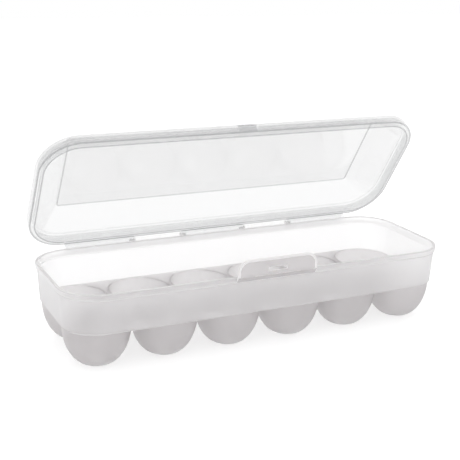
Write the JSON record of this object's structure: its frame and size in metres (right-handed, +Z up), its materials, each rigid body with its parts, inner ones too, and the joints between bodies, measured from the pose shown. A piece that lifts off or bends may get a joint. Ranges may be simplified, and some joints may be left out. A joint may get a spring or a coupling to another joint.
{
  "type": "egg keeper with flip lid",
  "caption": "Long frosted plastic egg keeper with round cups and a front latch tab, under a clear domed lid that flips open on a rear hinge.",
  "frame": {"origin": "under the middle of the keeper's bounding box with the lid open, on the plane that the cups stand on", "axes": "+X along the keeper to its right end, +Y from the latch at the front to the hinge at the rear, +Z up"},
  "size_m": [0.3316, 0.1308, 0.1678],
  "materials": {
    "frosted_plastic": "translucent frosted, satin",
    "clear_plastic": "clear and glossy"
  },
  "bodies": {
    "tray": {"tray_wall": "frosted_plastic", "hinge_lug_left": "frosted_plastic", "hinge_lug_right": "frosted_plastic", "egg_cup_front_1": "frosted_plastic", "egg_cup_front_2": "frosted_plastic", "egg_cup_front_3": "frosted_plastic", "egg_cup_front_4": "frosted_plastic", "egg_cup_front_5": "frosted_plastic", "egg_cup_front_6": "frosted_plastic", "egg_cup_rear_1": "frosted_plastic", "egg_cup_rear_2": "frosted_plastic", "egg_cup_rear_3": "frosted_plastic", "egg_cup_rear_4": "frosted_plastic", "egg_cup_rear_5": "frosted_plastic", "egg_cup_rear_6": "frosted_plastic"},
    "latch": {"latch_tab": "frosted_plastic"},
    "lid": {"lid_rim": "clear_plastic", "lid_dome": "clear_plastic", "lid_catch": "clear_plastic", "lid_knuckle_left": "clear_plastic", "lid_knuckle_middle": "clear_plastic", "lid_knuckle_right": "clear_plastic"}
  },
  "joints": [
    {"name": "lid_hinge", "type": "hinge", "parent": "tray", "child": "lid", "pos_m": [0, 0.05579, 0.0632], "axis": [1, 0, 0], "range_deg": [-48, 57]},
    {"name": "latch_flex", "type": "hinge", "parent": "tray", "child": "latch", "pos_m": [0, -0.06231, 0.0595], "axis": [1, 0, 0], "range_deg": [0, 12], "stiffness_Nm_per_rad": 0.5}
  ]
}
